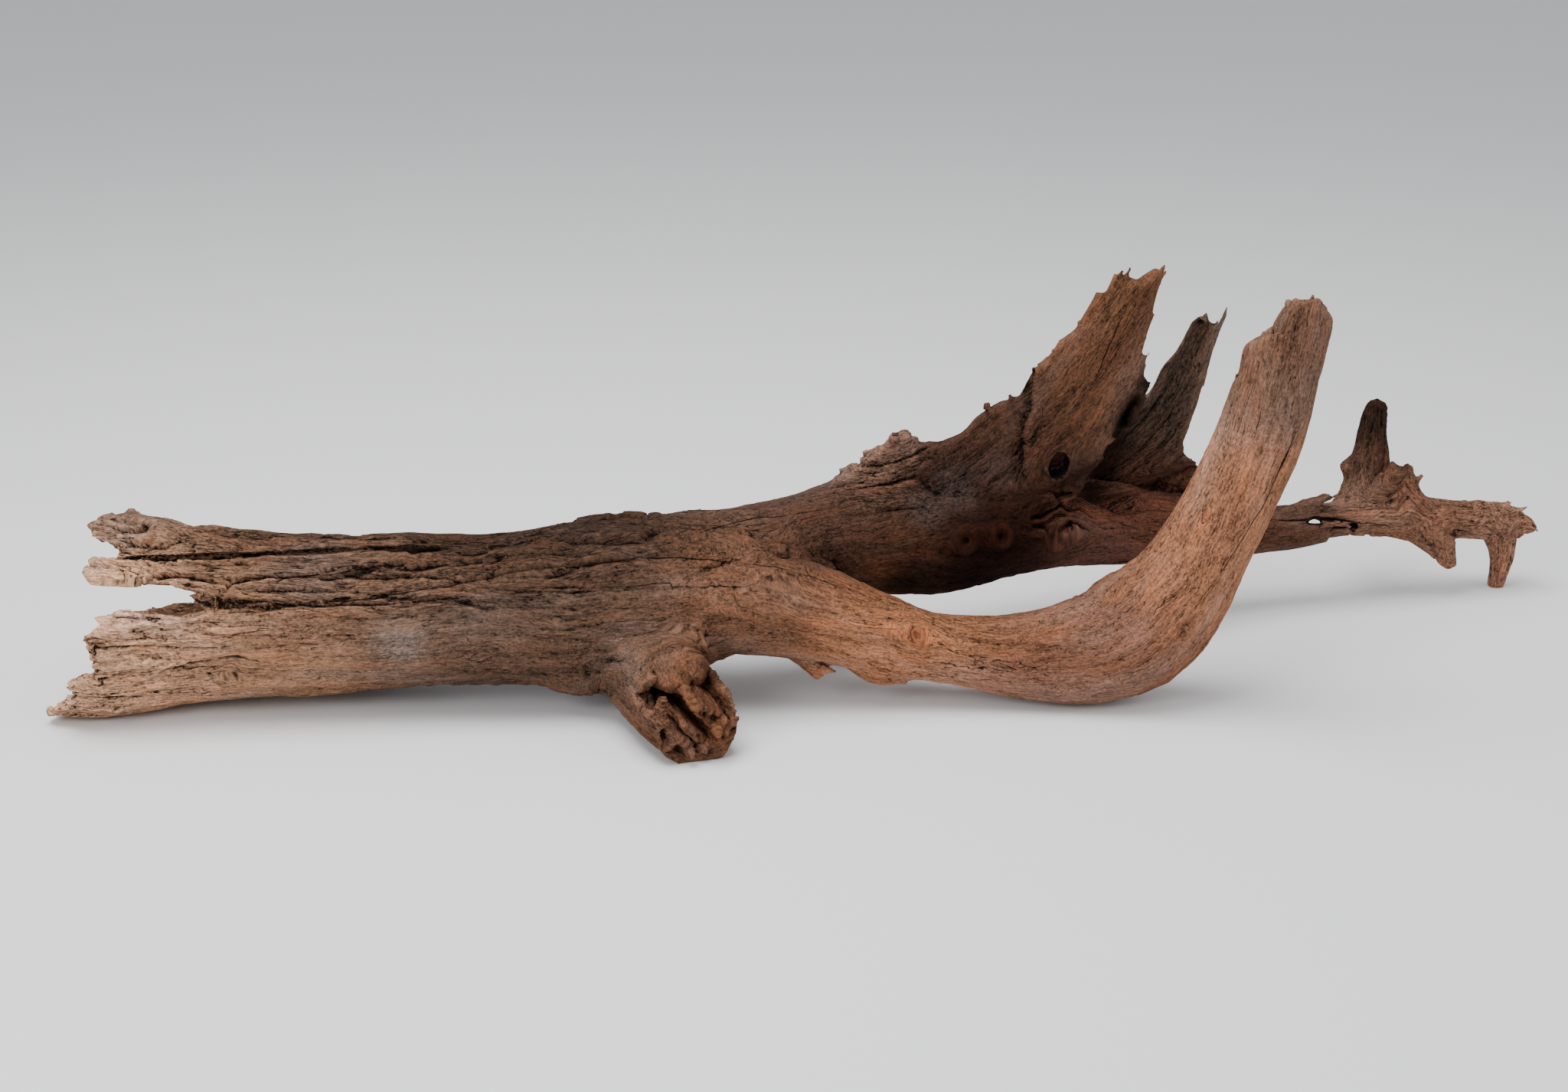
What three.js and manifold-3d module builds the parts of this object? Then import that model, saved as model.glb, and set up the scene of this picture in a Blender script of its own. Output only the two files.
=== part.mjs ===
// A forked piece of driftwood, one grown solid, lying on the ground. Millimetres, +Z up.
// x runs along the trunk, y away from the viewer. The trunk splits into a front branch that
// curls up like a hook and a hollow back limb that carries two torn slabs of its own wall.
// It rests on three small flats: the broken left end, the stub in front and the far twig.

import * as THREE from 'three';
import { mergeVertices } from 'three/addons/utils/BufferGeometryUtils.js';
import Module from 'manifold-3d';

const wasm = await Module();
wasm.setup();
const { Manifold, Mesh: SolidMesh } = wasm;

// Driving dimensions. A station of a limb is [x, y, z, half depth, half height].
const TRUNK = [
  [-800, -100, 98, 94, 100],
  [-715, -98, 96, 97, 105],
  [-640, -95, 91, 90, 91],
  [-565, -93, 88, 86, 84],
  [-490, -90, 86, 82, 81],
  [-415, -88, 88, 78, 75],
  [-340, -86, 88, 76, 73],
  [-265, -84, 92, 80, 78],
  [-190, -82, 97, 82, 83],
  [-130, -79, 110, 64, 62],
  [-88, -74, 116, 46, 48],
  [-48, -66, 118, 28, 30],
  [-10, -58, 120, 12, 12],
];
const FRONT_BRANCH = [
  [-300, -88, 88, 50, 52],
  [-190, -94, 96, 54, 54],
  [-115, -98, 99, 48, 45],
  [-62, -100, 95, 44, 45],
  [-17, -102, 90, 43, 45],
  [36, -102, 74, 40, 42],
  [89, -102, 61, 37, 35],
  [142, -102, 52, 38, 37],
  [195, -102, 50, 42, 45],
  [243, -102, 57, 45, 53],
  [288, -102, 77, 46, 60],
  [323, -103, 113, 43, 53],
  [351, -105, 168, 39, 46],
  [376, -108, 229, 36, 43],
  [393, -112, 284, 34, 42],
  [402, -116, 338, 32, 40],
  [410, -120, 390, 29, 39],
  [416, -124, 445, 27, 38],
];
const BACK_LIMB = [
  [-267, -68, 100, 58, 58],
  [-153, -58, 130, 47, 48],
  [-92, -45, 140, 42, 43],
  [-42, -28, 141, 46, 47],
  [3, -12, 143, 52, 55],
  [47, 4, 141, 58, 62],
  [95, 20, 136, 61, 65],
  [151, 42, 134, 58, 59],
  [201, 62, 130, 54, 53],
  [243, 78, 125, 50, 48],
  [287, 95, 116, 47, 45],
  [330, 110, 109, 43, 42],
  [374, 125, 103, 38, 38],
  [454, 150, 92, 30, 28],
  [506, 162, 92, 28, 25],
  [559, 172, 96, 23, 19],
  [603, 180, 95, 24, 23],
  [639, 188, 91, 22, 25],
  [684, 198, 87, 20, 21],
  [728, 207, 82, 20, 22],
  [757, 213, 76, 15, 17],
  [783, 217, 69, 3, 3],
];
const FRONT_STUB = [
  [-210, -90, 78, 64, 60],
  [-201, -130, 58, 44, 50],
  [-173, -180, 43, 40, 43],
  [-145, -222, 32, 42, 40],
  [-138, -246, 27, 36, 35],
];
const STUB_HOLLOW = [
  [-112, -296, 44, 36, 38],
  [-136, -236, 52, 34, 36],
  [-158, -200, 58, 30, 30],
  [-180, -172, 64, 22, 21],
  [-196, -150, 68, 9, 9],
];
// What is left standing in the stub's hollow: two walls of sound wood along the grain.
const STUB_RIBS = [
  [[-194, -146, 44, 3, 16], [-163, -196, 34, 4, 22], [-139, -240, 24, 4, 22]],
  [[-178, -146, 60, 3, 16], [-146, -196, 50, 5, 24], [-124, -240, 40, 5, 24]],
];
const UPRIGHT_TWIG = [
  [578, 190, 92, 26, 40],
  [584, 204, 125, 18, 25],
  [590, 214, 148, 15, 22],
  [591, 224, 178, 13, 17],
  [594, 231, 200, 11, 14],
  [595, 232, 212, 7, 9],
];
const HOOKED_TWIG = [
  [736, 209, 84, 17, 24],
  [742, 212, 62, 15, 19],
  [748, 214, 40, 13, 15],
  [748, 216, 18, 11, 12],
  [743, 217, -6, 7, 8],
];
const SHORT_SPUR = [
  [640, 188, 90, 19, 26],
  [664, 184, 66, 15, 20],
  [674, 181, 49, 10, 12],
  [681, 180, 35, 4, 5],
];
const BROKEN_NUB = [
  [-42, -108, 66, 20, 22],
  [-30, -112, 46, 12, 15],
  [-20, -114, 33, 6, 8],
];
const SLAB_SPIKE = [
  [374, 128, 262, 7, 9],
  [384, 128, 300, 5, 6],
  [401, 128, 338, 1.5, 2],
];

// A row of a slab is [left x, left z, right x, right z]; the rows climb from the root of the slab
// to its tip, so the left and right ends of the rows are its two torn edges.
const FRONT_SLAB = {
  rows: [
    [-14, 196, 20, 112],
    [22, 218, 60, 108],
    [48, 239, 95, 104],
    [63, 244, 125, 104],
    [70, 235, 150, 104],
    [98, 234, 175, 106],
    [120, 244, 200, 110],
    [132, 258, 220, 114],
    [163, 277, 232, 130],
    [174, 279, 243, 166],
    [186, 304, 262, 196],
    [205, 316, 272, 218],
    [216, 334, 280, 240],
    [231, 345, 288, 258],
    [238, 358, 295, 274],
    [245, 371, 299, 297],
    [251, 383, 302, 318],
    [260, 382, 306, 340],
    [268, 401, 310, 360],
    [282, 398, 313, 376],
    [291, 394, 316, 388],
    [311, 405, 317, 394],
  ],
  depth: [-20, 0.2],
  thick: [50, 14],
  bulge: 8,
};
const REAR_SLAB = {
  rows: [
    [150, 110, 410, 112],
    [155, 158, 398, 148],
    [172, 186, 388, 168],
    [210, 203, 368, 184],
    [256, 218, 364, 198],
    [290, 236, 370, 220],
    [318, 244, 376, 243],
    [328, 264, 380, 262],
    [335, 282, 384, 283],
    [349, 296, 387, 300],
    [357, 312, 389, 312],
    [364, 329, 391, 319],
    [372, 336, 392, 324],
    [384, 327, 393, 320],
  ],
  depth: [62, 0.16],
  thick: [40, 14],
  bulge: -8,
};

// Flat torn pieces along the limbs: outline [x, z], depth in y where it starts, and thickness.
const SPLINTERS = [
  { points: [[430, 80], [480, 113], [503, 124], [533, 132], [528, 124], [520, 116], [500, 96]],
    from: 146, thick: 14 },
  { points: [[530, 88], [566, 112], [584, 130], [592, 139], [607, 158], [615, 151], [625, 155],
      [630, 142], [638, 127], [652, 108], [640, 84]],
    from: 170, thick: 26 },
  { points: [[276, 226], [288, 290], [300, 319], [307, 312], [306, 294], [304, 268], [300, 244]],
    from: 40, thick: 14 },
  { points: [[714, 88], [718, 103], [748, 106], [745, 98], [736, 82]], from: 200, thick: 12 },
  { points: [[568, 84], [571, 118], [555, 144], [562, 152], [575, 164], [590, 150], [592, 90]],
    from: 198, thick: 22 },
];

// Broken ends: everything inside these outlines is gone. Each is [x, z] at the given depth and
// drops away from the viewer at the slant, so that the torn edges lean like split fibres.
const TEAR_SLANT = THREE.MathUtils.degToRad(20);
const LEFT_END_GONE = {
  depth: -110,
  points: [[-860, 270], [-698, 240], [-692, 208], [-707, 197], [-722, 185], [-714, 175],
    [-690, 165], [-687, 153], [-702, 149], [-712, 140], [-709, 132], [-690, 130], [-640, 131],
    [-634, 127], [-611, 119], [-622, 111], [-606, 103], [-616, 97], [-634, 96], [-668, 101],
    [-684, 99], [-704, 93], [-699, 87], [-721, 75], [-717, 60], [-713, 49], [-716, 31],
    [-743, 24], [-741, 15], [-749, 5], [-772, -5], [-764, -14], [-768, -60], [-860, -60]],
};
const BRANCH_TIP_GONE = {
  depth: -118,
  points: [[330, 500], [330, 331], [361, 331], [369, 340], [371, 358], [372, 369], [381, 374],
    [390, 377], [399, 374], [403, 392], [408, 403], [412, 411], [420, 408], [428, 406],
    [439, 400], [443, 394], [448, 388], [480, 384], [480, 500]],
};

// Hollows and bites, as ellipsoids: centre, then half sizes.
const HOLLOWS = [
  { at: [282, 74, 194], size: [112, 33, 62] },
  { at: [-800, 0, 50], size: [120, 70, 62] },
];
const LOG_HOLLOW = [
  [-850, -86, 106, 62, 66],
  [-740, -88, 104, 56, 58],
  [-660, -90, 102, 44, 42],
  [-590, -92, 99, 26, 22],
  [-530, -92, 96, 9, 8],
];
const KNOT_HOLE = { at: [219, 10, 207], across: 21, high: 26, through: 80 };
// Drying cracks that follow the grain: a path on the surface, the way into the wood, and the
// widest opening and depth.
const CRACKS = [
  { path: [[-712, -166, 174], [-630, -143, 167], [-553, -125, 165], [-475, -111, 163],
      [-403, -101, 162], [-350, -97, 162]],
    into: [0, 0.45, -0.9], width: 10, depth: 42 },
  { path: [[-550, -156, 148], [-485, -142, 151], [-420, -129, 154]],
    into: [0, 0.6, -0.8], width: 5, depth: 16 },
  { path: [[-640, -184, 126], [-552, -174, 129], [-454, -159, 132], [-394, -148, 137],
      [-340, -138, 142], [-296, -135, 149], [-234, -135, 157], [-173, -130, 163],
      [-108, -117, 152]],
    into: [0, 0.85, -0.52], width: 8, depth: 30 },
  { path: [[-171, -115, 176], [-109, -75, 174], [-62, -60, 178], [-15, -47, 183]],
    into: [-0.1, 0.6, -0.75], width: 4, depth: 12 },
  { path: [[424, -140, 310], [403, -142, 245], [389, -142, 211], [362, -146, 161],
      [333, -148, 113]],
    into: [-0.3, 0.95, 0], width: 4, depth: 14 },
];
const SWELLINGS = [
  { at: [40, -104, 44], size: [36, 26, 26] },
  { at: [126, 0, 132], size: [24, 26, 20] },
  { at: [163, 14, 132], size: [22, 24, 18] },
  { at: [226, 38, 134], size: [28, 20, 26] },
  { at: [72, -112, 76], size: [30, 29, 20] },
];

// The stations are drawn from the trunk's side; this puts the middle of the footprint at 0, 0.
const TO_MIDDLE = [-6, 8, 0];

const WOOD = { color: 0x6b4a36, roughness: 0.9, metalness: 0 };

// Solids out of three.js geometries and back.
function solid(geometry) {
  const bare = new THREE.BufferGeometry();
  bare.setAttribute('position', geometry.getAttribute('position'));
  if (geometry.index) bare.setIndex(geometry.index);
  const merged = mergeVertices(bare, 1e-3);
  const mesh = new SolidMesh({
    numProp: 3,
    vertProperties: new Float32Array(merged.getAttribute('position').array),
    triVerts: new Uint32Array(merged.index.array),
  });
  mesh.merge();
  return new Manifold(mesh);
}

function geometryOf(body) {
  const mesh = body.getMesh();
  const geometry = new THREE.BufferGeometry();
  geometry.setAttribute('position', new THREE.BufferAttribute(mesh.vertProperties, 3));
  geometry.setIndex(new THREE.BufferAttribute(mesh.triVerts, 1));
  geometry.computeVertexNormals();
  return geometry;
}

// The flutes of a weathered limb: its radius wanders a little round it and along it.
function fluting(angle, run, seed) {
  return 1
    + 0.035 * Math.sin(2 * angle + run * 0.006 + seed)
    + 0.028 * Math.sin(3 * angle - run * 0.011 + 2.1 * seed)
    + 0.018 * Math.sin(5 * angle + run * 0.009 + 3.7 * seed)
    + 0.014 * Math.sin(8 * angle - run * 0.004 + 5.3 * seed);
}

// A limb is a skin of rings along a smooth line through its stations, closed at both ends.
function limb(stations, { sides = 26, steps = 2, seed = 1, smooth = false, across } = {}) {
  const line = new THREE.CatmullRomCurve3(stations.map(([x, y, z]) => new THREE.Vector3(x, y, z)));
  const girth = new THREE.CatmullRomCurve3(stations.map((s) => new THREE.Vector3(s[3], s[4], 0)));
  line.curveType = girth.curveType = 'catmullrom';
  const reference = new THREE.Vector3(...(across ?? [0, 1, 0]));
  const rings = (stations.length - 1) * steps;
  const positions = [];
  const index = [];
  let run = 0;
  let before = line.getPoint(0);
  for (let i = 0; i <= rings; i += 1) {
    const t = i / rings;
    const centre = line.getPoint(t);
    const along = line.getTangent(t);
    const size = girth.getPoint(t);
    const side = reference.clone().addScaledVector(along, -reference.dot(along)).normalize();
    const up = new THREE.Vector3().crossVectors(along, side).normalize();
    run += centre.distanceTo(before);
    before = centre;
    for (let k = 0; k < sides; k += 1) {
      const angle = (k / sides) * Math.PI * 2;
      const swell = smooth ? 1 : fluting(angle, run, seed);
      const point = centre.clone()
        .addScaledVector(side, Math.cos(angle) * Math.max(size.x, 1) * swell)
        .addScaledVector(up, Math.sin(angle) * Math.max(size.y, 1) * swell);
      positions.push(point.x, point.y, point.z);
    }
  }
  for (let i = 0; i < rings; i += 1) {
    for (let k = 0; k < sides; k += 1) {
      const a = i * sides + k;
      const b = i * sides + ((k + 1) % sides);
      index.push(a, b, a + sides, b, b + sides, a + sides);
    }
  }
  for (const [ring, flip] of [[0, true], [rings, false]]) {
    const middle = positions.length / 3;
    const centre = line.getPoint(ring / rings);
    positions.push(centre.x, centre.y, centre.z);
    for (let k = 0; k < sides; k += 1) {
      const a = ring * sides + k;
      const b = ring * sides + ((k + 1) % sides);
      if (flip) index.push(b, a, middle);
      else index.push(a, b, middle);
    }
  }
  return closed(positions, index);
}

function closed(positions, index) {
  const geometry = new THREE.BufferGeometry();
  geometry.setAttribute('position', new THREE.Float32BufferAttribute(positions, 3));
  geometry.setIndex(index);
  const body = solid(geometry);
  if (body.volume() > 0) return body;
  for (let i = 0; i < index.length; i += 3) [index[i], index[i + 1]] = [index[i + 1], index[i]];
  geometry.setIndex(index);
  return solid(geometry);
}

// A slab is a piece of the limb's wall: its rows run from edge to edge, with columns between,
// a front and a back face, and shallow ridges along the fibres.
function slab({ rows, depth, thick, bulge }, columns = 8) {
  const last = rows.length - 1;
  const mix = THREE.MathUtils.lerp;
  const positions = [];
  const index = [];
  for (const face of [0, 1]) {
    rows.forEach(([xl, zl, xr, zr], i) => {
      const climb = i / last;
      for (let k = 0; k <= columns; k += 1) {
        const c = k / columns;
        const crown = Math.sin(Math.PI * c);
        const x = mix(xl, xr, c);
        const ridge = 1.6 * Math.sin(c * 17 + i * 0.25) * crown;
        const front = depth[0] + depth[1] * x - bulge * crown + ridge;
        const through = mix(thick[0], thick[1], climb) * (0.35 + 0.65 * crown);
        positions.push(x, front + face * through, mix(zl, zr, c));
      }
    });
  }
  const width = columns + 1;
  const back = rows.length * width;
  const quad = (a, b, c, d) => index.push(a, b, c, a, c, d);
  for (let i = 0; i < last; i += 1) {
    for (let k = 0; k < columns; k += 1) {
      const a = i * width + k;
      quad(a, a + 1, a + width + 1, a + width);
      quad(back + a + 1, back + a, back + a + width, back + a + width + 1);
    }
    const l = i * width;
    const r = l + columns;
    quad(l, l + width, back + l + width, back + l);
    quad(r + width, r, back + r, back + r + width);
  }
  for (let k = 0; k < columns; k += 1) {
    const top = last * width + k;
    quad(k + 1, k, back + k, back + k + 1);
    quad(top, top + 1, back + top + 1, back + top);
  }
  return closed(positions, index);
}

function outline(points) {
  return new THREE.Shape(points.map(([x, z]) => new THREE.Vector2(x, z)));
}

// A flat splinter stands in the x-z plane, with thinned edges.
function splinter({ points, from, thick }) {
  const bevel = thick * 0.22;
  const geometry = new THREE.ExtrudeGeometry(outline(points), {
    depth: thick - 2 * bevel, bevelEnabled: true, bevelThickness: bevel, bevelSize: bevel,
    bevelOffset: -bevel, bevelSegments: 1, curveSegments: 1,
  });
  geometry.rotateX(Math.PI / 2);
  geometry.translate(0, from + thick - bevel, 0);
  return solid(geometry);
}

// What a break took away: the outline swept right through the wood along the slant.
function gone({ depth, points }, reach = 260) {
  const geometry = new THREE.ExtrudeGeometry(outline(points), {
    depth: 2 * reach, bevelEnabled: false, curveSegments: 1,
  });
  geometry.rotateX(Math.PI / 2);
  geometry.translate(0, depth + reach, 0);
  const place = geometry.getAttribute('position');
  for (let i = 0; i < place.count; i += 1) {
    place.setZ(i, place.getZ(i) - (place.getY(i) - depth) * Math.tan(TEAR_SLANT));
  }
  return solid(geometry);
}

function ellipsoid({ at, size }, detail = 3) {
  const geometry = new THREE.IcosahedronGeometry(1, detail);
  geometry.scale(...size);
  geometry.translate(...at);
  return solid(geometry);
}

function knotHole({ at, across, high, through }) {
  const geometry = new THREE.CylinderGeometry(0.5, 0.5, through, 14);
  geometry.scale(across, 1, high);
  geometry.translate(...at);
  return solid(geometry);
}

// A crack is a wedge drawn along its path, shallow and narrow at both ends.
function crack({ path, into, width, depth }, steps = 18, proud = 7) {
  const line = new THREE.CatmullRomCurve3(path.map((point) => new THREE.Vector3(...point)));
  const inward = new THREE.Vector3(...into).normalize();
  const positions = [];
  const index = [];
  for (let i = 0; i <= steps; i += 1) {
    const t = i / steps;
    const open = 0.12 + 0.88 * Math.sin(Math.PI * t) ** 0.6 * (0.8 + 0.2 * Math.cos(9 * t));
    const centre = line.getPoint(t);
    const side = new THREE.Vector3().crossVectors(line.getTangent(t), inward).normalize();
    const lip = centre.clone().addScaledVector(inward, -proud);
    const spread = (width / 2) * open * (1 + proud / depth);
    for (const point of [
      lip.clone().addScaledVector(side, spread),
      lip.clone().addScaledVector(side, -spread),
      centre.clone().addScaledVector(inward, depth * open),
    ]) positions.push(point.x, point.y, point.z);
  }
  for (let i = 0; i < steps; i += 1) {
    for (let k = 0; k < 3; k += 1) {
      const a = i * 3 + k;
      const b = i * 3 + ((k + 1) % 3);
      index.push(a, b, a + 3, b, b + 3, a + 3);
    }
  }
  const end = steps * 3;
  index.push(0, 2, 1, end, end + 1, end + 2);
  return closed(positions, index);
}

function driftwood() {
  const grown = Manifold.union([
    limb(TRUNK, { sides: 30, seed: 1.3 }),
    limb(FRONT_BRANCH, { seed: 2.9 }),
    limb(BACK_LIMB, { seed: 4.4 }),
    limb(FRONT_STUB, { sides: 22, seed: 0.7, across: [1, 0, 0] }),
    limb(UPRIGHT_TWIG, { sides: 14, seed: 3.3 }),
    limb(HOOKED_TWIG, { sides: 12, seed: 1.9 }),
    limb(SHORT_SPUR, { sides: 12, seed: 2.2 }),
    limb(BROKEN_NUB, { sides: 12, seed: 5.1 }),
    limb(SLAB_SPIKE, { sides: 8, smooth: true }),
    slab(FRONT_SLAB),
    slab(REAR_SLAB),
    ...SPLINTERS.map(splinter),
    ...SWELLINGS.map((swelling) => ellipsoid(swelling, 2)),
  ]);
  const taken = Manifold.union([
    gone(LEFT_END_GONE),
    gone(BRANCH_TIP_GONE, 60),
    limb(STUB_HOLLOW, { sides: 14, seed: 1.1, across: [1, 0, 0] }),
    limb(LOG_HOLLOW, { sides: 18, seed: 2.4 }),
    knotHole(KNOT_HOLE),
    ...CRACKS.map((split) => crack(split)),
    ...HOLLOWS.map((hollow) => ellipsoid(hollow, 2)),
  ]);
  const ribs = STUB_RIBS.map((rib) => limb(rib, { sides: 6, smooth: true, across: [0.7, 0, 0.7] }));
  const wood = Manifold.union([grown.subtract(taken), ...ribs]).trimByPlane([0, 0, 1], 0);
  return wood.decompose().reduce((a, b) => (b.volume() > a.volume() ? b : a));
}

const group = new THREE.Group();
group.name = 'piece_of_driftwood';
const piece = new THREE.Mesh(geometryOf(driftwood()), new THREE.MeshStandardMaterial(WOOD));
piece.name = 'driftwood';
piece.position.set(...TO_MIDDLE);
group.add(piece);

export default group;
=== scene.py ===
import math
import random

import bpy
import numpy as np
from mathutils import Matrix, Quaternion, Vector
from mathutils.kdtree import KDTree


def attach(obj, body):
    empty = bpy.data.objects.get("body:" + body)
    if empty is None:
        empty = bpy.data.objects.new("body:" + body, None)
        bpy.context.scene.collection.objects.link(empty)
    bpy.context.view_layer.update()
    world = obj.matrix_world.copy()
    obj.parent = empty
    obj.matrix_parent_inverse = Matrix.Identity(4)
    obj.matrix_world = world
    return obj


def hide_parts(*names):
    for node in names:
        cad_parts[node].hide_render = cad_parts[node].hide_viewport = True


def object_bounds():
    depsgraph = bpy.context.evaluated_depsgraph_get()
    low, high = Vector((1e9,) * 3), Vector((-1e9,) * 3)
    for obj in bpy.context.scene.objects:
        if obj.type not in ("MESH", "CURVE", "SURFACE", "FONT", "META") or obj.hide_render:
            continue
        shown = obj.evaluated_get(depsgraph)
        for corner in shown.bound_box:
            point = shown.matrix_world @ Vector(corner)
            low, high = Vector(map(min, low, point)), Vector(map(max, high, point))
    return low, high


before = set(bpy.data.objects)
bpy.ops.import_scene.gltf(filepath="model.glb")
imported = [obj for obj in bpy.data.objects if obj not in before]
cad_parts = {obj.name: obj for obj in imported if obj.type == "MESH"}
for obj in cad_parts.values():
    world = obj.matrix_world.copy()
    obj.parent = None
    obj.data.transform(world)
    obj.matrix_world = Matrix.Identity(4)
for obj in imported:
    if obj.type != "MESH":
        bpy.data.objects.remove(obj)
cad_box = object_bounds()


# The wood. One grown piece: a trunk that forks into a hooked front branch and a hollow back limb.
# The sea and the sun have washed out the soft wood, so every surface is ridged along the grain,
# split by drying cracks, and frayed into splinters where a limb broke off.
MM = 1000                   # places are listed in millimetres, as CAD has them: this many a metre
WELD = 0.00001
SKIN_CELL = 0.0019
FACES_KEPT = 190000

bpy.ops.object.select_all(action="DESELECT")
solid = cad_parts["driftwood"]
wood = bpy.data.objects.new("weathered_wood", solid.data.copy())
bpy.context.scene.collection.objects.link(wood)
wood.select_set(True)
bpy.context.view_layer.objects.active = wood
bpy.ops.object.mode_set(mode="EDIT")
bpy.ops.mesh.select_all(action="SELECT")
bpy.ops.mesh.remove_doubles(threshold=WELD)
bpy.ops.mesh.normals_make_consistent(inside=False)
bpy.ops.object.mode_set(mode="OBJECT")


# How its fibres run. Each limb has a line of fibre down its middle, in millimetres with the
# limb's radius, and each new limb takes its fibres over from the limb that it grew out of.
FIBRES = {
    "trunk": (None, [(-806, -92, 98, 98), (-646, -87, 91, 90), (-496, -82, 86, 82),
                     (-346, -78, 88, 75), (-196, -74, 97, 82), (-94, -66, 116, 52)]),
    "front": ("trunk", [(-306, -80, 88, 50), (-196, -86, 96, 54), (-68, -92, 95, 45),
                        (30, -94, 74, 41), (136, -94, 52, 37), (237, -94, 57, 49),
                        (282, -94, 77, 54), (317, -95, 113, 49), (345, -97, 168, 43),
                        (387, -104, 284, 38), (404, -112, 390, 34), (410, -116, 445, 32)]),
    "back": ("trunk", [(-273, -60, 100, 58), (-159, -50, 130, 47), (-48, -20, 141, 46),
                       (41, 12, 141, 60), (145, 50, 134, 58), (237, 86, 125, 49),
                       (324, 118, 109, 43), (448, 158, 92, 29), (553, 180, 96, 21),
                       (678, 206, 87, 20), (751, 221, 76, 16), (790, 226, 66, 8)]),
    "slab": ("back", [(-20, -16, 160, 40), (60, -2, 172, 44), (140, 16, 205, 44),
                      (205, 30, 262, 40), (255, 40, 330, 32), (305, 48, 415, 26)]),
    "rear slab": ("back", [(150, 92, 130, 40), (250, 112, 160, 40), (325, 122, 215, 34),
                           (365, 128, 285, 22), (392, 130, 350, 16)]),
    "stub": ("front", [(-216, -82, 86, 60), (-207, -122, 60, 46), (-179, -172, 43, 42),
                       (-144, -240, 27, 38)]),
    "twig": ("back", [(572, 198, 92, 26), (584, 222, 148, 18), (588, 240, 215, 12)]),
    "hook": ("back", [(722, 214, 88, 20), (738, 222, 55, 15), (738, 225, -6, 9)]),
    "spur": ("back", [(628, 196, 92, 22), (658, 192, 64, 16), (680, 188, 30, 6)]),
}
STATION_GAP = 0.014
LEAST_STATIONS = 3
END_SLACK = 0.008           # a point this far past a limb's end still counts as inside it
POINTS_AT_ONCE = 50000
GRIP = 3.2                  # how firmly a limb holds its own grain against the next limb's
TRACE = 1e-12


def fibre_line(stations, parent):
    """A smooth run of points, radii, run lengths and carried side directions down a limb."""
    given = np.array(stations, float) / MM
    ends = np.vstack([2 * given[0] - given[1], given, 2 * given[-1] - given[-2]])
    rows = []
    for k in range(len(given) - 1):
        p0, p1, p2, p3 = ends[k:k + 4]
        steps = max(LEAST_STATIONS, round(np.linalg.norm(p2[:3] - p1[:3]) / STATION_GAP))
        for t in np.linspace(0, 1, steps, endpoint=False):
            rows.append(0.5 * (2 * p1 + (p2 - p0) * t + (2 * p0 - 5 * p1 + 4 * p2 - p3) * t * t
                               + (3 * p1 - p0 - 3 * p2 + p3) * t ** 3))
    rows = np.array(rows + [given[-1]])
    points, radii = rows[:, :3], rows[:, 3]
    along = np.gradient(points, axis=0)
    along /= np.linalg.norm(along, axis=1)[:, None]
    run = np.concatenate([[0], np.cumsum(np.linalg.norm(np.diff(points, axis=0), axis=1))])
    start, side = np.zeros(3), np.array([0.0, 1.0, 0.0])
    if parent:
        start, side = grain_of(points[:1], parent)[0][0], parent["side"][0]
    sides = []
    for tangent in along:
        side = side - tangent * (side @ tangent)
        side = side / np.linalg.norm(side)
        sides.append(side)
    return {"points": points, "radii": radii, "along": along, "run": run, "start": start,
            "side": np.array(sides), "up": np.cross(along, sides)}


def grain_of(points, line):
    """Where points lie in a limb's wood: (along, across, up), radii out, and nearest station."""
    grain, out = np.empty((len(points), 3)), np.empty(len(points))
    nearest = np.empty(len(points), int)
    centre = (line["points"] ** 2).sum(1)
    for first in range(0, len(points), POINTS_AT_ONCE):
        batch = slice(first, first + POINTS_AT_ONCE)
        some = points[batch]
        station = (centre - 2 * some @ line["points"].T).argmin(1)
        offset = some - line["points"][station]
        step = (offset * line["along"][station]).sum(1)
        across = (offset * line["side"][station]).sum(1)
        up = (offset * line["up"][station]).sum(1)
        beyond = np.clip(abs(step) - END_SLACK, 0, None)
        grain[batch] = np.stack([line["run"][station] + step, across, up], 1)
        out[batch] = np.sqrt(across ** 2 + up ** 2 + beyond ** 2) / line["radii"][station]
        nearest[batch] = station
    return grain + line["start"], out, nearest


lines = {}
for name, (parent, stations) in FIBRES.items():
    lines[name] = fibre_line(stations, lines.get(parent))


def grain_and_limbs(points):
    """The grain, its direction, the girth and each limb's share, eased from limb to limb."""
    shares, grains, ways, girths = [], [], [], []
    for line in lines.values():
        grain, out, station = grain_of(points, line)
        grains.append(grain)
        ways.append(line["along"][station])
        girths.append(line["radii"][station])
        shares.append(np.exp(-GRIP * out ** 2))
    shares = np.array(shares) + TRACE
    shares /= shares.sum(0)
    grain = (shares[:, :, None] * np.array(grains)).sum(0)
    way = (shares[:, :, None] * np.array(ways)).sum(0)
    way /= np.linalg.norm(way, axis=1)[:, None]
    return grain, way, (shares * np.array(girths)).sum(0), dict(zip(lines, shares))


def read_mesh(mesh):
    """A mesh's points, its normals at them, and its edges, as arrays."""
    points, normals = np.empty(len(mesh.vertices) * 3), np.empty(len(mesh.vertices) * 3)
    mesh.vertices.foreach_get("co", points)
    mesh.vertex_normals.foreach_get("vector", normals)
    edges = np.empty(len(mesh.edges) * 2, int)
    mesh.edges.foreach_get("vertices", edges)
    return points.reshape(-1, 3), normals.reshape(-1, 3), edges.reshape(-1, 2)


def write_mesh(mesh, points):
    """Puts a mesh's points where they are given."""
    mesh.vertices.foreach_set("co", points.ravel())
    mesh.update()


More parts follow.
